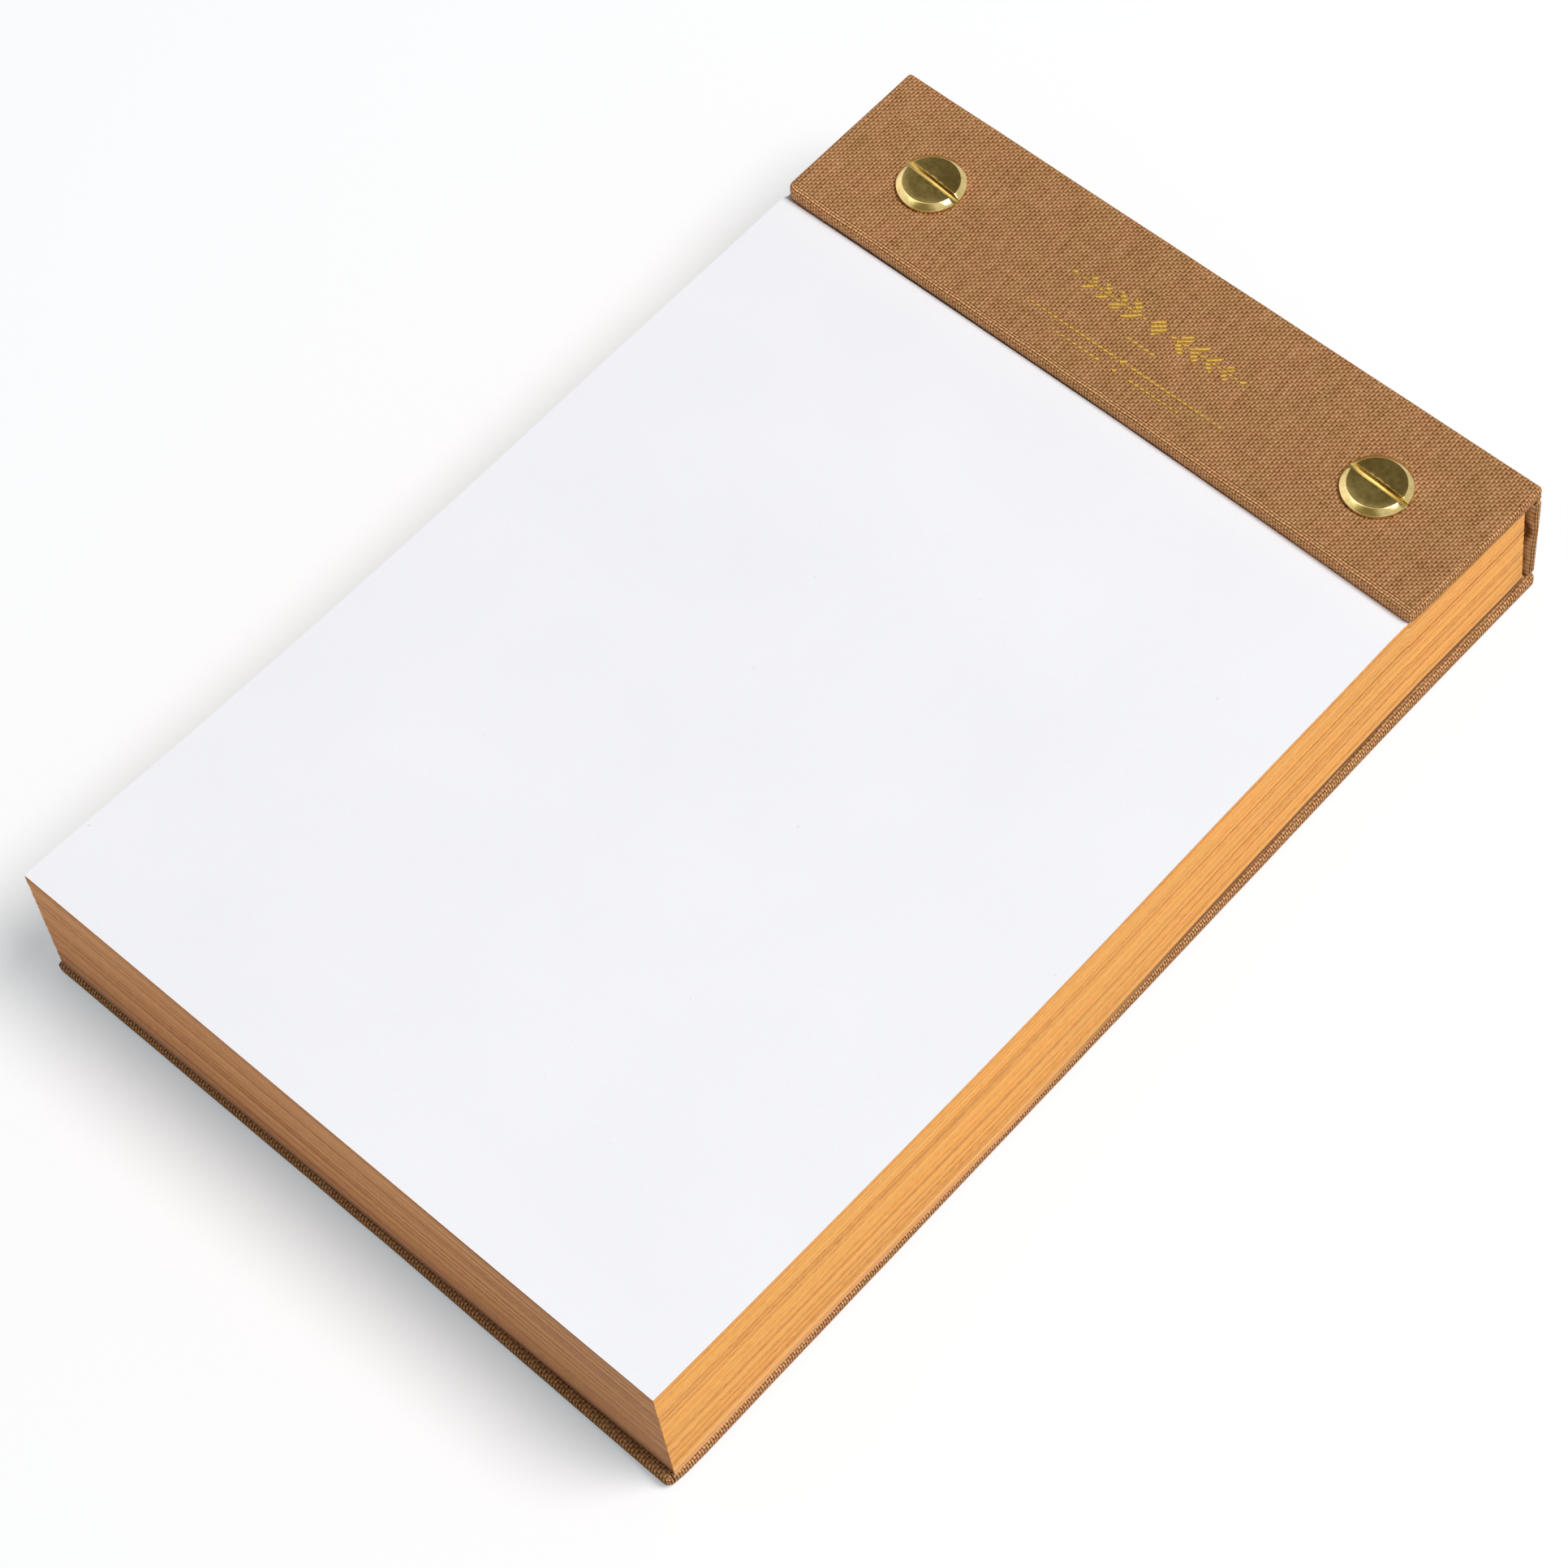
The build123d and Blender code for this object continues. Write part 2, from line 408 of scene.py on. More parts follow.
def rod(x, y, low, high, radius):
    """A cutter for a round hole."""
    return turned("rod", ((0, high), (radius, high), (radius, low), (0, low)), (x, y, 0), 64)


def prism(name, outline, half):
    """An outline of (y, z) points, given anticlockwise as seen from +X, drawn out to both sides of the middle."""
    count = len(outline)
    verts = [(x, y, z) for x in (-half, half) for y, z in outline]
    faces = [tuple(range(count))[::-1], tuple(range(count, 2 * count))]
    for k in range(count):
        after = (k + 1) % count
        faces.append((k, after, count + after, count + k))
    return add_object(name, verts, faces, smooth=False)


def between(low, high, count):
    """Evenly spaced places strictly between two ends."""
    return [low + (high - low) * (k + 1) / (count + 1) for k in range(count)]


# The cloth skins: hollow rounded boxes round their boards
ARC = [math.tan(math.radians(a)) for a in (45, 33.75, 22.5, 11.25)]


def stops(low, high, places, radius):
    """Grid stops along one axis: where the rounding's centre lies, and the tangent of its turn."""
    ends = [(low + radius, -t) for t in ARC]
    flat = [(p, 0.0) for p in [low + radius] + sorted(places) + [high - radius]]
    return ends + flat + [(high - radius, t) for t in reversed(ARC)]


def skin(name, spans, places, opening, move, layers=(0.0, CLOTH), radius=ROUND):
    """Shells of a rounded box, the first facing out and a second facing in, with an opening in one face
    whose edges are closed. One layer alone makes a solid. move shifts a point, so that a skin can sag or
    lean. UVs are the cloth's own millimetres."""
    grid = [stops(low, high, at, radius) for (low, high), at in zip(spans, places)]
    sizes = [len(g) for g in grid]
    verts = []
    index = {}
    faces = []
    uvs = []

    def vertex(key, depth):
        if (key, depth) not in index:
            stop = [grid[axis][key[axis]] for axis in range(3)]
            turn = Vector([s[1] for s in stop]).normalized()
            index[key, depth] = len(verts)
            verts.append(tuple(move(Vector([s[0] for s in stop]) + (radius - depth) * turn, turn)))
        return index[key, depth]

    def cut_place(axis, key):
        """Where a point lies on the flat cloth, unfolded from the top face."""
        sx, sy, sz = (grid[a][key[a]] for a in range(3))
        drop = radius * math.pi / 2 + spans[2][1] - radius - sz[0] - radius * math.atan(sz[1])
        u, v = (stop[0] + radius * math.atan(stop[1]) for stop in (sx, sy))
        if axis == 0:
            u = spans[0][1] - radius + drop if sx[1] > 0 else spans[0][0] + radius - drop
        if axis == 1:
            v = spans[1][1] - radius + drop if sy[1] > 0 else spans[1][0] + radius - drop
        return u, v

    for axis in range(3):
        first, second = [a for a in range(3) if a != axis]
        for end in (0, sizes[axis] - 1):
            outward = end > 0
            gone = set()
            for i in range(sizes[first] - 1):
                for j in range(sizes[second] - 1):
                    mid = [(grid[a][k][0] + grid[a][k + 1][0]) / 2 for a, k in ((first, i), (second, j))]
                    if opening and opening[0] == (axis, outward):
                        if all(lo < m < hi for m, (lo, hi) in zip(mid, opening[1:])):
                            gone.add((i, j))
            for i in range(sizes[first] - 1):
                for j in range(sizes[second] - 1):
                    corners = []
                    for di, dj in ((0, 0), (1, 0), (1, 1), (0, 1)):
                        key = [0, 0, 0]
                        key[axis], key[first], key[second] = end, i + di, j + dj
                        corners.append(tuple(key))
                    if (i, j) not in gone:
                        ahead = list(corners)
                        if outward == (axis == 1):
                            ahead.reverse()
                        for depth in layers:
                            faces.append([vertex(key, depth) for key in ahead])
                            uvs.append([cut_place(axis, key) for key in ahead])
                            ahead = ahead[::-1]
                        continue
                    near = ((i, j - 1), (i + 1, j), (i, j + 1), (i - 1, j))
                    for side, other in enumerate(near):
                        if other in gone:
                            continue
                        a, b = corners[side], corners[(side + 1) % 4]
                        if outward == (axis == 1):
                            a, b = b, a
                        outer, inner = layers
                        faces.append([vertex(a, outer), vertex(a, inner), vertex(b, inner), vertex(b, outer)][::-1])
                        uvs.append([cut_place(axis, key) for key in (a, a, b, b)][::-1])
    return add_object(name, verts, faces, uvs)


# How far the spine's foot and top stand behind their true places
FOOT_OUT = 1.0
TOP_OUT = 0.3


def held(value):
    """The value, kept between 0 and 1."""
    return min(max(value, 0.0), 1.0)


def ripple(point, turn):
    """Each skin dips and swells very slightly, as cloth glued to a cut board does."""
    lift = 0.035 * noise.noise(point * 0.11) + 0.02 * noise.noise(point * 0.37)
    return point + turn * (lift - 0.03)


def lean(z):
    """How far the spine stands behind its true place at a height: its foot is pushed back."""
    return TOP_OUT + (FOOT_OUT - TOP_OUT) * held(1 - (z - WALL) / (FLAP_UNDER - WALL))


def corner(point, x, y, size, amount):
    """Blunts the front corner at (x, y) in plan, or squares it up with a negative amount."""
    way = math.copysign(1, x)
    a = (point.x - x) * way / size + 1
    b = (y - point.y) / size + 1
    if a > 0 and b > 0:
        shrink = (max(a, b) / math.hypot(a, b)) ** amount - 1
        point.x += size * a * shrink * way
        point.y -= size * b * shrink


def skew(x):
    """How far the flap's front edge stands forward of square."""
    return 0.66 * held(x / SIDE) ** 1.6


# How far the sheets bulge between the screws where they come out from under the flap, and lift its edge
SWELL = (
    (-56.0, 0.1), (-50.0, 0.25), (-43.0, 0.6), (-30.0, 0.75), (-10.0, 0.8),
    (5.0, 0.7), (15.0, 0.5), (30.0, 0.25), (45.0, 0.05), (56.0, 0.0),
)
# The sheets take this share of it, and the flap's edge the rest
PAD_SHARE = 0.45


def bulge(x):
    for (x0, z0), (x1, z1) in zip(SWELL, SWELL[1:]):
        if x <= x1:
            return z0 + (z1 - z0) * (max(x, x0) - x0) / (x1 - x0)
    return 0.0


def base_shape(point, turn):
    """The base lies a little askew, and its near right corner is thick with folded cloth."""
    point = ripple(point, turn)
    corner(point, -SIDE, NEAR, ROUND, -0.6)
    near = held((-60 - point.y) / 25)
    right = max(0.0, point.x / SIDE)
    pinch = 0.3 * math.exp(-((point.y - NEAR) / 2.5) ** 2)
    point.x += right ** 3 * (0.28 + 0.17 * held((60 - point.y) / 60) - pinch)
    point.y -= 0.5 * near * held((point.x - 5) / 47) ** 1.3
    back = held((point.y - 60) / 25)
    point.x += 0.3 * right ** 3 * back
    point.y += FOOT_OUT * back
    return point


def spine_shape(point, turn):
    """The spine leans, and its ends are cut back towards the pad."""
    point = ripple(point, turn)
    inward = held((BACK - 1.35 - point.y) / 0.3)
    way = math.copysign(1, point.x)
    point.x -= way * (1.8 * inward - 0.15) * held((abs(point.x) - 50) / 5)
    point.y += lean(point.z)
    return point


def flap_shape(point, turn):
    """The flap's right end comes in towards its front corner, which stands forward; the left one is blunt."""
    point = ripple(point, turn)
    corner(point, -SIDE, FLAP_FRONT, 1.6, 0.7)
    front = held((BACK - 3 - point.y) / 23.0)
    forward = skew(point.x) * front
    if point.z < HEIGHT - WALL / 2:
        point.z += 0.6 * held((point.x - SIDE + 2.0) / 1.5)
        point.z += (1 - PAD_SHARE) * bulge(point.x) * held((FLAP_FRONT + 2.4 - point.y) / 1.5)
    point.x -= 0.75 * max(0.0, point.x / SIDE) ** 5 * front
    point.y -= forward
    point.y += TOP_OUT * held((point.y - 70) / 15)
    return point


inner_x = SIDE - TURN_IN
edge_x = [-SIDE + 1.3, -SIDE + 1.9, -SIDE + 4, -SIDE + 8, SIDE - 8, SIDE - 4, SIDE - 1.9, SIDE - 1.3]
wide_x = edge_x + [-inner_x, inner_x] + between(-inner_x, inner_x, 19)
across = (-SIDE, SIDE)
base_inner = (NEAR + TURN_IN, TURN_BACK)
base_y = [NEAR + 1.5, NEAR + 2.2, NEAR + 3, NEAR + 6, *base_inner] + between(*base_inner, 27)
base_spans = (across, (NEAR, BACK), (0, WALL))
spine_low, spine_high = WALL + 0.12, FLAP_UNDER - 0.12
spine_spans = (across, (SPINE_IN, BACK), (spine_low, spine_high))
lip_y = [BACK - step for step in (1.37, 1.5, 1.64, 1.75)]
spine_places = (wide_x, lip_y, between(spine_low + ROUND, spine_high - ROUND, 6))
flap_inner = (FLAP_FRONT + TURN_IN, TURN_BACK)
flap_y = [FLAP_FRONT + step for step in (0.9, 1.3, 1.7, 2.2, 6)] + [*flap_inner] + between(*flap_inner, 5)
flap_spans = (across, (FLAP_FRONT, BACK), (FLAP_UNDER, HEIGHT))
core = (CLOTH + 0.02,)
base_places = (wide_x, base_y, [WALL / 2])
flap_places = (wide_x, flap_y, [HEIGHT - WALL / 2])
# The open face of each skin, and the two ranges that it is open over
open_x = (-inner_x, inner_x)
base_opening = ((2, True), open_x, base_inner)
spine_opening = ((1, False), open_x, (WALL, FLAP_UNDER))
flap_opening = ((2, False), open_x, flap_inner)


def holes(low, high, radius):
    """Cutters at both screws."""
    return [rod(x, y, low, high, radius) for x, y, _ in SCREWS]


base_skin = skin("base_cloth", base_spans, base_places, base_opening, base_shape)
base_core = skin("base_core", base_spans, base_places, None, base_shape, core)
spine_skin = skin("spine_cloth", spine_spans, spine_places, spine_opening, spine_shape, radius=SPINE_ROUND)
spine_core = skin("spine_core", spine_spans, spine_places, None, spine_shape, core, SPINE_ROUND)
flap_skin = skin("flap_cloth", flap_spans, flap_places, flap_opening, flap_shape, radius=FLAP_ROUND)
flap_core = skin("flap_core", flap_spans, flap_places, None, flap_shape, core, FLAP_ROUND)
# The slit between the folds of cloth at the near right corner
slit = prism("slit", ((NEAR + 0.45, 1.2), (NEAR + 0.66, 1.2), (NEAR + 0.66, 3.5), (NEAR + 0.45, 3.5)), 0.7)
slit.data.transform(Matrix.Translation((0.25 * MM + SIDE * MM, 0, 0)))
cut_away(base_skin, holes(-1, SEAT_TOP, POST_SEAT) + [slit])
cut_away(base_core, holes(-1, SEAT_TOP, POST_SEAT) + holes(1, WALL + 1, POST_HOLE))
cut_away(flap_skin, holes(FLAP_UNDER - 1, HEIGHT + 1, POST_HOLE))
cut_away(flap_core, holes(FLAP_UNDER - 1, HEIGHT + 1, POST_HOLE))


def hinge(name, low, high, dip):
    """The strip of cloth that spans a joint of the case, drawn into the gap and round both ends."""
    end = SIDE + 0.08
    flat = end - SPINE_ROUND
    turns = [math.radians(90 - 15 * k) for k in range(7)]
    tuck = 1.2
    # Each step of the path: its place, the way it faces and how far along the cloth it lies
    right = []
    for a in turns:
        c, s = math.cos(a), math.sin(a)
        right.append((flat + SPINE_ROUND * c, SPINE_ROUND * (s - 1), c, s, flat + SPINE_ROUND * (math.pi / 2 - a)))
    right.append((end, -tuck, 1.0, 0.0, right[-1][4] + tuck - SPINE_ROUND))
    path = [(-x, y, -nx, ny, -u) for x, y, nx, ny, u in reversed(right)]
    path += [(x, 0.0, 0.0, 1.0, x) for x in between(-flat, flat, 39)] + right
    steps = 14
    levels = [low + (high - low) * k / steps for k in range(steps + 1)]
    rows = [(z, 0.05 + dip * math.sin(math.pi * k / steps) ** 2) for k, z in enumerate(levels)]
    rows += [(z, depth + CLOTH) for z, depth in reversed(rows)]
    verts = []
    for x, y, nx, ny, u in path:
        for z, depth in rows:
            spread = 0.08 * held((3.5 - z) / 1.5) * max(0.0, x / SIDE) ** 3
            verts.append((x + spread - nx * depth, BACK + lean(z) + y - ny * depth, z))
    count = len(rows)
    faces = []
    uvs = []

    def place(i, j):
        return path[i][4], BACK - FLAP_ROUND + FLAP_ROUND * math.pi / 2 + HEIGHT - FLAP_ROUND - rows[j][0]

    for i in range(len(path) - 1):
        for j in range(count):
            k = (j + 1) % count
            ring = ((i, k), (i + 1, k), (i + 1, j), (i, j))
            faces.append([a * count + b for a, b in ring])
            uvs.append([place(a, b) for a, b in ring])
    for i, turn in ((0, 1), (len(path) - 1, -1)):
        for j in range(steps):
            ring = ((i, j), (i, j + 1), (i, count - 2 - j), (i, count - 1 - j))[::turn]
            faces.append([a * count + b for a, b in ring])
            uvs.append([place(a, b) for a, b in ring])
    return add_object(name, verts, faces, uvs)


lower_hinge = hinge("lower_hinge_cloth", WALL - ROUND - 0.2, spine_low + SPINE_ROUND + 0.2, 0.3)
upper_hinge = hinge("upper_hinge_cloth", spine_high - SPINE_ROUND - 0.2, FLAP_UNDER + FLAP_ROUND + 0.2, 0.15)


# The lining, folded up the leaning spine and under the flap between the turned-in edges
SHEET_LOW, SHEET_HIGH = WALL - CLOTH, FLAP_UNDER + CLOTH
lining_sheet = prism("lining_sheet", (
    (NEAR + TURN_IN + LINING_GAP, SHEET_LOW),
    (SPINE_IN + CLOTH + FOOT_OUT, SHEET_LOW),
    (SPINE_IN + CLOTH + TOP_OUT, SHEET_HIGH),
    (FLAP_FRONT + TURN_IN + LINING_GAP, SHEET_HIGH),
    (FLAP_FRONT + TURN_IN + LINING_GAP, FLAP_UNDER),
    (SPINE_IN + TOP_OUT, FLAP_UNDER),
    (SPINE_IN + FOOT_OUT, WALL),
    (NEAR + TURN_IN + LINING_GAP, WALL),
), inner_x - LINING_GAP)
cut_away(lining_sheet, holes(-1, HEIGHT + 1, POST_HOLE))


# The pad of sheets
SHEETS = 120
PAD_SIDE = 55.0
PAD_NEAR = -84.8
PAD_BACK = 83.4
# Heights of the top sheet along its left and right edges, from the spine to the free end
TOP_Y = (PAD_BACK, 60.3, 59.5, 56, 48, 24, 0, -24, -48, -60, -72, PAD_NEAR)
TOP_LEFT = tuple(zip(TOP_Y, (20.7, 20.7, 21.15, 21.3, 21.3, 21.55, 21.45, 21.7, 22.5, 23.1, 23.9, 24.7)))
TOP_RIGHT = tuple(zip(TOP_Y, (20.7, 20.7, 21.4, 21.7, 21.65, 21.75, 21.5, 21.5, 22.1, 22.55, 23.05, 23.75)))
# Where the bulge of the sheets ends under the flap
BULGE_END = 59.62


def eased(points, y):
    """A smooth curve through (y, z) points given in falling y."""
    for k in range(len(points) - 1):
        (y0, z0), (y1, z1) = points[k], points[k + 1]
        if y >= y1 or k == len(points) - 2:
            before = points[max(k - 1, 0)]
            after = points[min(k + 2, len(points) - 1)]
            s = min(max((y0 - y) / (y0 - y1), 0), 1)
            m0 = (z1 - before[1]) / (before[0] - y1) * (y0 - y1) if before[0] != y0 else z1 - z0
            m1 = (after[1] - z0) / (y0 - after[0]) * (y0 - y1) if after[0] != y1 else z1 - z0
            if k <= 1:
                m0 = 0.0
            if k == 0:
                m1 = 0.0
            s2, s3 = s * s, s * s * s
            return (2 * s3 - 3 * s2 + 1) * z0 + (s3 - 2 * s2 + s) * m0 + (3 * s2 - 2 * s3) * z1 + (s3 - s2) * m1


def pad_top(x, y):
    y += skew(x)
    share = (x + PAD_SIDE) / (2 * PAD_SIDE)
    flat = eased(TOP_LEFT, y) * (1 - share) + eased(TOP_RIGHT, y) * share
    past = y - BULGE_END
    gone = math.exp(-(past / 10) ** 2) if past < 0 else held(1 - past / 0.12)
    return flat + PAD_SHARE * bulge(x) * gone


def pad_point(x, y, share):
    """A point of the pad: sheets fan out to the free end, and the stack leans and turns slightly with height."""
    z = WALL + share * (pad_top(x, y) - WALL)
    turn = math.radians(0.26 - 0.14 * share)
    shift = 0.27 - 0.8 * share
    foot = 1 - share
    swell = 0.12 + 0.62 * math.exp(-((y + 15) / 38) ** 2)
    out = foot ** 1.5 * swell + 0.4 * held((y - 62) / 18)
    x += out * max(0.0, x / PAD_SIDE) ** 3 - (0.14 + 0.22 * share) * held(-y / 85)
    y += 0.55 * foot * held((y - 40) / 43) - 0.42 * foot ** 1.2 * held((-60 - y) / 25)
    return x * math.cos(turn) - y * math.sin(turn) + shift, y + x * math.sin(turn), z


def sheet_inset(layer, where):
    """How far a sheet's edge lies behind the pad's face: it wanders slowly, with a few deeper gaps."""
    wander = 0.045 * noise.noise(Vector((layer * 0.23, where * 0.008, 3.0)))
    grain = 0.05 * noise.noise(Vector((layer * 7.31, where * 0.02, 11.0)))
    depth = 0.25 if where > 100 else 0.15 * held((where + 30) / 50)
    return max(0.0, 0.06 + wander + grain) + depth * max(0.0, 1 - layer / 3)


def make_pad():
    xs = [-PAD_SIDE + 2 * PAD_SIDE * k / 32 for k in range(33)]
    ys = [PAD_NEAR + (58.0 - PAD_NEAR) * k / 48 for k in range(49)]
    ys += [58.6, 58.95, 59.1, 59.28, 59.4, 59.5, 59.6, 59.67, 59.74, 59.9, 60.3, 61.3, 62.5]
    ys += between(62.5, PAD_BACK, 6) + [PAD_BACK]
    # The outline runs along the near end, up the right side, along the back and down the left side
    outline = [(x, PAD_NEAR, 0) for x in xs[:-1]] + [(PAD_SIDE, y, 1) for y in ys[:-1]]
    outline += [(x, PAD_BACK, 2) for x in reversed(xs[1:])] + [(-PAD_SIDE, y, 3) for y in reversed(ys[1:])]
    count = len(outline)

    def edge_u(side, x, y):
        return (200 + x, y, 800 - x, 600 - y)[side]

    shares = [0.0]
    for layer in range(SHEETS):
        shares.append(shares[-1] + 1.0 + 0.5 * noise.noise(Vector((layer * 1.7, 0.5, 0.5))))
    shares = [s / shares[-1] for s in shares]
    verts = []
    for layer in range(SHEETS):
        for share in (shares[layer], shares[layer + 1]):
            for x, y, side in outline:
                inset = sheet_inset(layer, edge_u(side, x, y))
                px = max(-PAD_SIDE + inset, min(PAD_SIDE - inset, x))
                py = max(PAD_NEAR + inset, min(PAD_BACK - inset, y))
                verts.append(pad_point(px, py, share))
    faces = []
    uvs = []
    places = []
    for row in range(2 * SHEETS - 1):
        low = row // 2 + (row % 2)
        high = row // 2 + 1
        for k in range(count):
            after = (k + 1) % count
            faces.append((row * count + k, row * count + after, (row + 1) * count + after, (row + 1) * count + k))
            x, y, side = outline[k]
            nx, ny, _ = outline[after]
            a, b = edge_u(side, x, y), edge_u(side, nx, ny)
            uvs.append(((a, low), (b, low), (b, high), (a, high)))
            places.append(1)
    for row, up in ((0, False), (2 * SHEETS - 1, True)):
        at = {}
        for k, (x, y, _) in enumerate(outline):
            at[round(x, 4), round(y, 4)] = row * count + k
        for x in xs[1:-1]:
            for y in ys[1:-1]:
                at[round(x, 4), round(y, 4)] = len(verts)
                verts.append(pad_point(x, y, 1.0 if up else 0.0))
        for x, nx in zip(xs, xs[1:]):
            for y, ny in zip(ys, ys[1:]):
                quad = [(x, y), (nx, y), (nx, ny), (x, ny)]
                if not up:
                    quad.reverse()
                faces.append([at[round(px, 4), round(py, 4)] for px, py in quad])
                uvs.append(quad)
                places.append(0)
    pad = add_object("page_sheets", verts, faces, uvs, smooth=False, places=places)
    pad.data.polygons.foreach_set("use_smooth", [place == 0 for place in places])
    return pad


pad = make_pad()
dress(pad, paper_material(), edge_material())
cut_away(pad, holes(WALL - 1, HEIGHT, PAGE_HOLE))
shade_by_angle(pad, 12)


# Screws and posts
def screw(name, x, y, angle):
    """A bevelled, slotted head with softened edges on a plain shank."""
    profile = (
        (0, 1.25), (1.0, 1.245), (2.0, 1.23), (3.0, 1.205), (4.04, 1.168), (4.1, 1.155), (4.15, 1.125),
        (4.55, 0.85), (4.92, 0.58), (4.97, 0.52), (5.0, 0.44), (5.0, 0.06), (4.97, 0.0), (4.9, -0.02),
        (1.9, -0.02), (1.9, -8.6), (1.5, -9.0), (0, -9.0),
    )
    piece = turned(name, profile, (0, 0, 0), 160)
    cutter = prism("slot", ((-0.55, 2), (-0.55, 0.3), (0.48, 0.3), (0.52, 2)), 7)
    cut_away(piece, [cutter])
    soften = piece.modifiers.new("soften", "BEVEL")
    soften.width = 0.045 * MM
    soften.segments = 2
    soften.limit_method = "ANGLE"
    soften.angle_limit = math.radians(60)
    apply_modifiers(piece)
    turn = Matrix.Rotation(math.radians(angle), 4, "Z")
    piece.data.transform(Matrix.Translation(Vector((x, y, HEIGHT)) * MM) @ turn)
    shade_by_angle(piece, 28)
    return piece


screws = [screw(name, *place) for name, place in zip(("left_screw", "right_screw"), SCREWS)]
POST = (
    (0, 0.1), (2.5, 0.1), (4.6, 0.1), (4.75, 0.12), (4.95, 0.3), (5.0, 0.4), (5.0, 1.1), (2.5, 1.1),
    (2.5, 23.0), (2.4, 23.1), (2.1, 23.1), (2.0, 23.0), (2.0, 12.5), (0, 12.5),
)
posts = []
for name, (x, y, _) in zip(("left_post", "right_post"), SCREWS):
    post = turned(name, tuple(reversed(POST)), (x, y, 0), 128)
    shade_by_angle(post, 28)
    posts.append(post)


# Gold-foil ornament: a lozenge between two leafy sprigs over plain rules
def foil_shapes():
    shapes = []

    def lozenge(cx, cy, w, h):
        shapes.append([(cx - w, cy), (cx, cy - h), (cx + w, cy), (cx, cy + h)])

    def leaf(cx, cy, length, width, angle):
        c, s = math.cos(math.radians(angle)), math.sin(math.radians(angle))
        outline = []
        for k in range(9):
            t = k / 8
            outline.append((length * t, -width * math.sin(math.pi * t) ** 0.8))
        for k in range(7, 0, -1):
            t = k / 8
            outline.append((length * t, width * math.sin(math.pi * t) ** 0.8))
        shapes.append([(cx + c * a - s * b, cy + s * a + c * b) for a, b in outline])

    def rule(x0, x1, y, w0, w1):
        shapes.append([(x0, y - w0), (x1, y - w1), (x1, y + w1), (x0, y + w0)])

    top = 73.9
    lozenge(0, top, 1.3, 1.7)
    for way in (-1, 1):
        rule(*sorted((way * 2.2, way * 13.6)), top, *((0.2, 0.12) if way > 0 else (0.12, 0.2)))
        for k in range(4):
            reach = 3.4 + 2.6 * k
            for tilt in (-1, 1):
                angle = 40 * tilt if way > 0 else 180 - 40 * tilt
                leaf(way * reach, top + 0.2 * tilt, 2.5 - 0.25 * k, 0.5 - 0.04 * k, angle)
        lozenge(way * 14.6, top, 0.5, 0.5)
    rule(-2.6, 2.6, 69.9, 0.14, 0.14)
    for way in (-1, 1):
        rule(*sorted((way * 1.1, way * 17.0)), 66.4, *((0.2, 0.08) if way > 0 else (0.08, 0.2)))
        rule(*sorted((way * 2.4, way * 11.0)), 64.6, *((0.16, 0.07) if way > 0 else (0.07, 0.16)))
    lozenge(0, 66.4, 0.6, 0.6)
    lozenge(0, 64.6, 0.4, 0.4)
    return shapes


def make_foil():
    work = bmesh.new()
    layer = work.loops.layers.uv.new("cut")
    level = HEIGHT - 0.02
    rise = 0.035
    for shape in foil_shapes():
        area = sum(a[0] * b[1] - b[0] * a[1] for a, b in zip(shape, shape[1:] + shape[:1]))
        if area < 0:
            shape.reverse()
        low = [work.verts.new(Vector((x, y, level)) * MM) for x, y in shape]
        high = [work.verts.new(Vector((x, y, level + rise)) * MM) for x, y in shape]
        made = [work.faces.new(high), work.faces.new(low[::-1])]
        for k in range(len(shape)):
            j = (k + 1) % len(shape)
            made.append(work.faces.new((low[k], low[j], high[j], high[k])))
        for face in made:
            for loop in face.loops:
                loop[layer].uv = (loop.vert.co.x / MM, loop.vert.co.y / MM)
    mesh = bpy.data.meshes.new("foil_ornament")
    work.to_mesh(mesh)
    work.free()
    obj = bpy.data.objects.new("foil_ornament", mesh)
    bpy.context.scene.collection.objects.link(obj)
    return obj


foil = make_foil()


cloth = cloth_material()
brass = brass_material("screw_brass", (0.82, 0.65, 0.30), 0.04)
dull_brass = brass_material("post_brass", (0.70, 0.53, 0.24), 0.22)
board = board_material()
for piece, node in ((base_core, "base_board"), (spine_core, "spine_board"), (flap_core, "flap_board")):
    dress(piece, board)
    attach(piece, "root")
    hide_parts(node)
dress(lining_sheet, lining_material())
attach(lining_sheet, "root")
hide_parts("lining")
for piece in (base_skin, spine_skin, flap_skin, lower_hinge, upper_hinge):
    dress(piece, cloth)
    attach(piece, "root")
    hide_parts("cover_cloth")
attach(pad, "root")
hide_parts("page_block")
for pieces, node, slot, material in (
    (screws, "binding_screws", "screw_brass", brass),
    (posts, "binding_posts", "post_brass", dull_brass),
):
    for piece in pieces:
        dress(piece, material)
        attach(piece, "root")
        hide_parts(node)
dress(foil, foil_material())
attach(foil, "root")


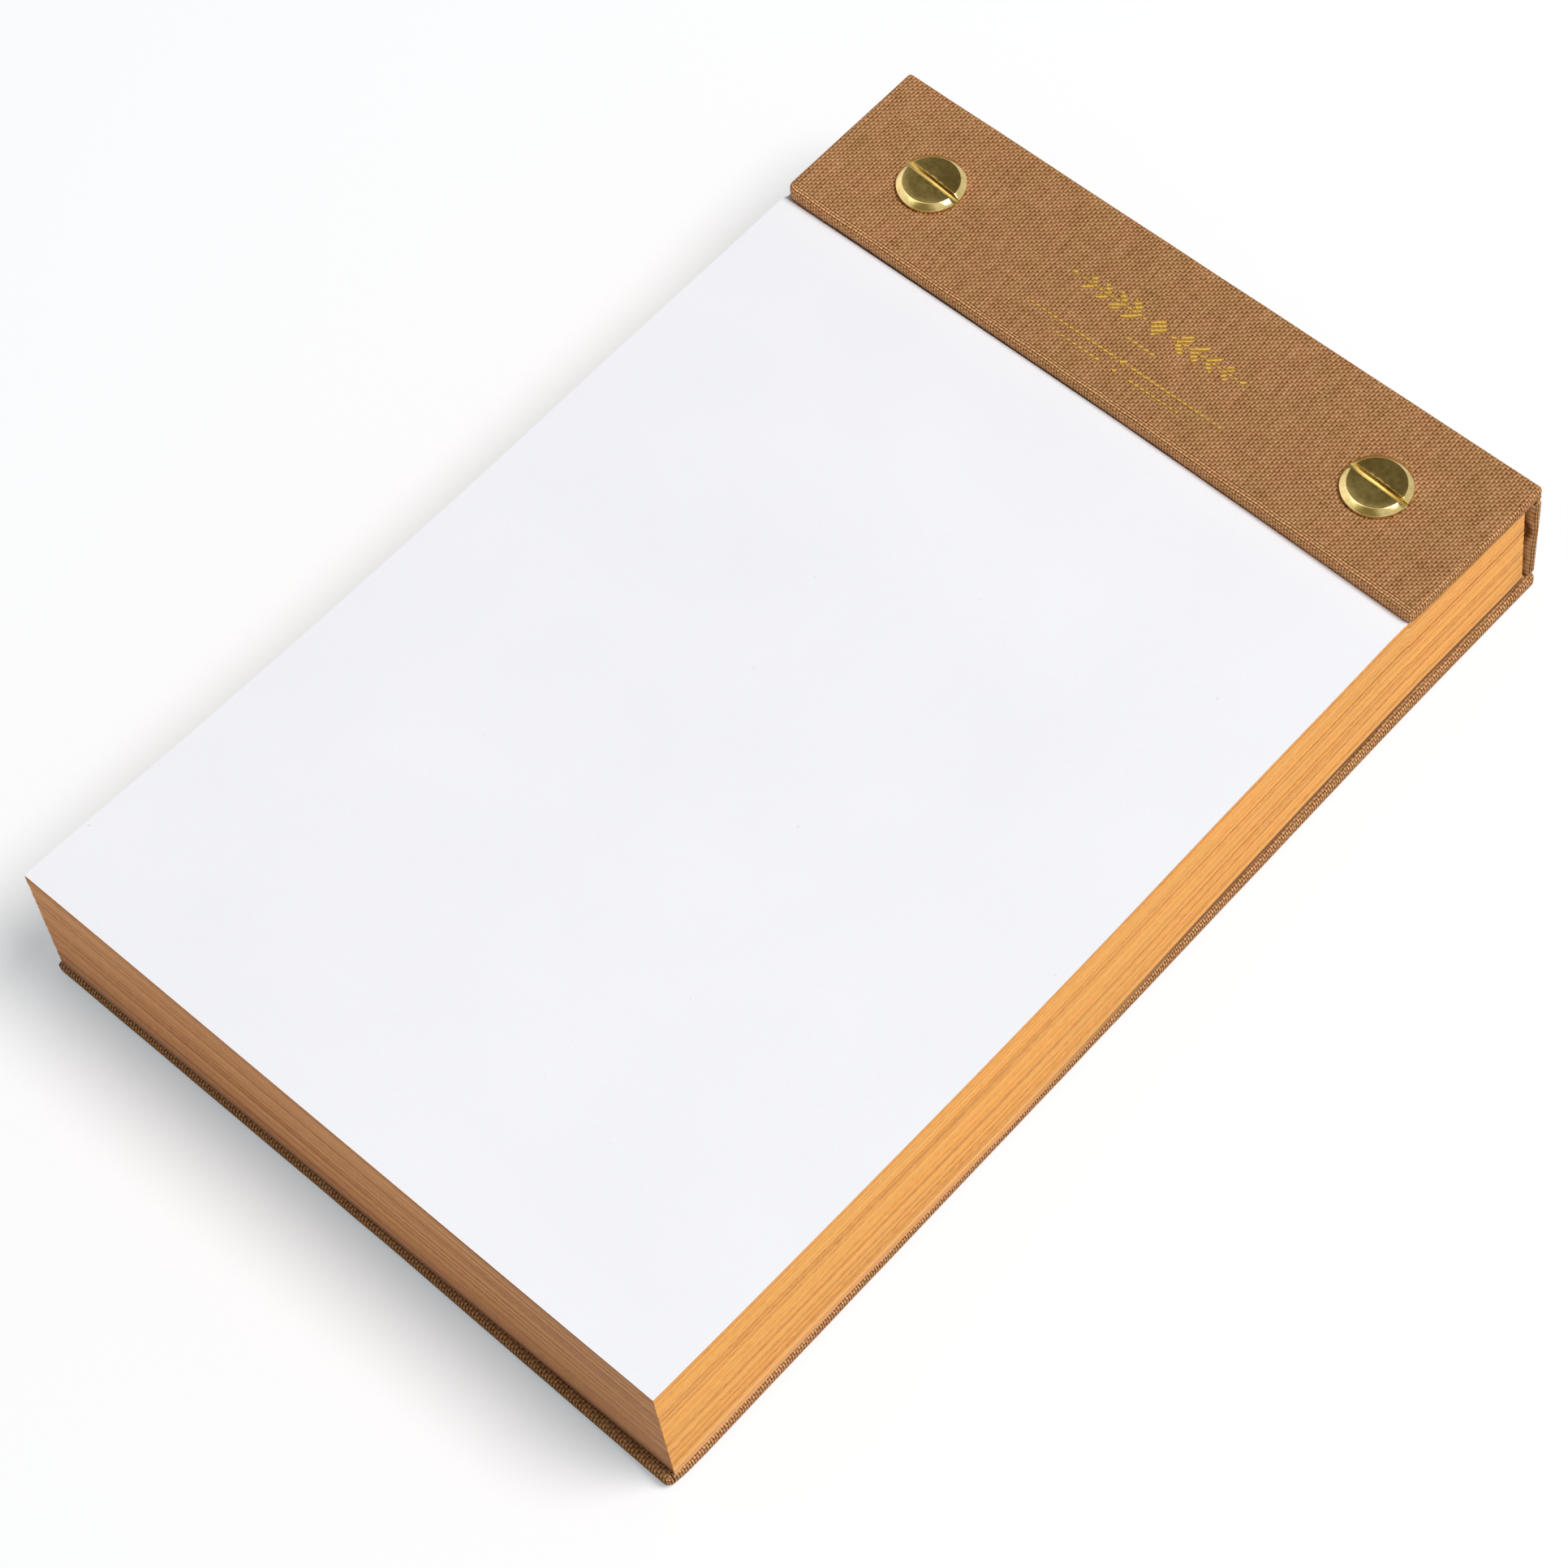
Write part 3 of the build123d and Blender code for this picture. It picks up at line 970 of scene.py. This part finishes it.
# Floor, light and camera
def add_floor():
    reach, level = 1500.0, -0.05
    corners = [(x * reach, y * reach, level) for x, y in ((-1, -1), (1, -1), (1, 1), (-1, 1))]
    floor = add_object("floor", corners, [(0, 1, 2, 3)])
    g = Graph(bpy.data.materials.new("floor"))
    tree = g.tree
    plain = tree.nodes.new("ShaderNodeBsdfDiffuse")
    plain.inputs["Color"].default_value = (0.74, 0.74, 0.74, 1)
    pale = tree.nodes.new("ShaderNodeBsdfDiffuse")
    pale.inputs["Color"].default_value = (0.692, 0.659, 0.650, 1)
    glow = tree.nodes.new("ShaderNodeEmission")
    glow.inputs["Color"].default_value = (0.876, 1.0, 1.065, 1)
    glow.inputs["Strength"].default_value = 0.338
    both = tree.nodes.new("ShaderNodeAddShader")
    pick = tree.nodes.new("ShaderNodeMixShader")
    path = tree.nodes.new("ShaderNodeLightPath")
    mirrored = g.math("MAXIMUM", path.outputs["Is Glossy Ray"], path.outputs["Is Transmission Ray"])
    seen = g.math("MAXIMUM", path.outputs["Is Camera Ray"], mirrored)
    tree.links.new(pale.outputs[0], both.inputs[0])
    tree.links.new(glow.outputs[0], both.inputs[1])
    tree.links.new(seen, pick.inputs[0])
    tree.links.new(plain.outputs[0], pick.inputs[1])
    tree.links.new(both.outputs[0], pick.inputs[2])
    tree.links.new(pick.outputs[0], tree.nodes["Material Output"].inputs["Surface"])
    floor.data.materials.append(g.material)


def add_world():
    """A faint even sky for diffuse light. Reflections see a pale studio, brighter to the left, with a dark
    warm ceiling beyond the part, a dark gap in front of it and a lamp above that."""
    world = bpy.data.worlds.new("studio")
    bpy.context.scene.world = world
    g = Graph(world)
    way = g.tree.nodes.new("ShaderNodeTexCoord").outputs["Generated"]
    path = g.tree.nodes.new("ShaderNodeLightPath")
    glossy, camera = path.outputs["Is Glossy Ray"], path.outputs["Is Camera Ray"]

    def patch(direction, outer, inner):
        node = g.tree.nodes.new("ShaderNodeVectorMath")
        node.operation = "DOT_PRODUCT"
        node.inputs[1].default_value = Vector(direction).normalized()
        g.join(way, node.inputs[0])
        return g.step(node.outputs["Value"], math.cos(math.radians(outer)), math.cos(math.radians(inner)))

    ceiling = patch((-0.309, 0.656, 0.688), 40, 8)
    gap = patch((0.17, -0.76, 0.63), 34, 17)
    lamp = patch((-0.38, -0.26, 0.89), 24, 2)
    left = patch((-0.85, -0.5, 0.2), 65, 20)
    dark = g.times(g.scaled(ceiling, -0.83, 1.0), g.scaled(gap, -0.62, 1.0))
    bright = g.times(g.scaled(lamp, 2.4, 1.0), g.scaled(left, 0.4, 0.85))
    level = g.times(dark, bright)
    level = g.scaled(glossy, g.plus(level, -0.25), 0.25)
    level = g.plus(level, g.times(camera, g.scaled(level, -1.0, 1.0)))
    sky = g.tree.nodes["Background"]
    g.join(level, sky.inputs["Strength"])
    warm = g.times(g.math("MAXIMUM", ceiling, gap), glossy)
    g.join(g.mix(warm, (1.0, 1.0, 1.0), (1.0, 0.88, 0.55)), sky.inputs["Color"])


def add_lamp(name, place, size, power, colour):
    data = bpy.data.lights.new(name, "AREA")
    data.shape = "DISK"
    data.size = size
    data.energy = power
    data.color = colour
    lamp = bpy.data.objects.new(name, data)
    lamp.location = place
    lamp.rotation_euler = (-Vector(place)).to_track_quat("-Z", "Y").to_euler()
    bpy.context.scene.collection.objects.link(lamp)


def add_camera():
    azimuth, elevation, roll = math.radians(48.45), math.radians(59.30), math.radians(7.27)
    target = Vector((-1.24, -2.62, 0.0))
    flat = math.cos(elevation)
    back = Vector((math.sin(azimuth) * flat, -math.cos(azimuth) * flat, math.sin(elevation)))
    right = (-back).cross(Vector((0, 0, 1))).normalized()
    down = (-back).cross(right)
    c, s = math.cos(roll), math.sin(roll)
    side = c * right + s * down
    up = s * right - c * down
    data = bpy.data.cameras.new("camera")
    data.sensor_width = 36.0
    # The focal length and the width of the photograph, in its pixels
    data.lens = 5372.8 / 1932 * data.sensor_width
    data.clip_start = 0.01
    camera = bpy.data.objects.new("camera", data)
    turn = Matrix((side, up, back)).transposed()
    camera.matrix_world = Matrix.Translation((target + back * 584.6) * MM) @ turn.to_4x4()
    bpy.context.scene.collection.objects.link(camera)
    bpy.context.scene.camera = camera


add_floor()
add_world()
add_lamp("key", (1.30, 0.76, 2.6), 1.7, 84.0, (1.0, 0.998, 0.99))
add_camera()
bpy.context.scene.view_settings.view_transform = "Standard"
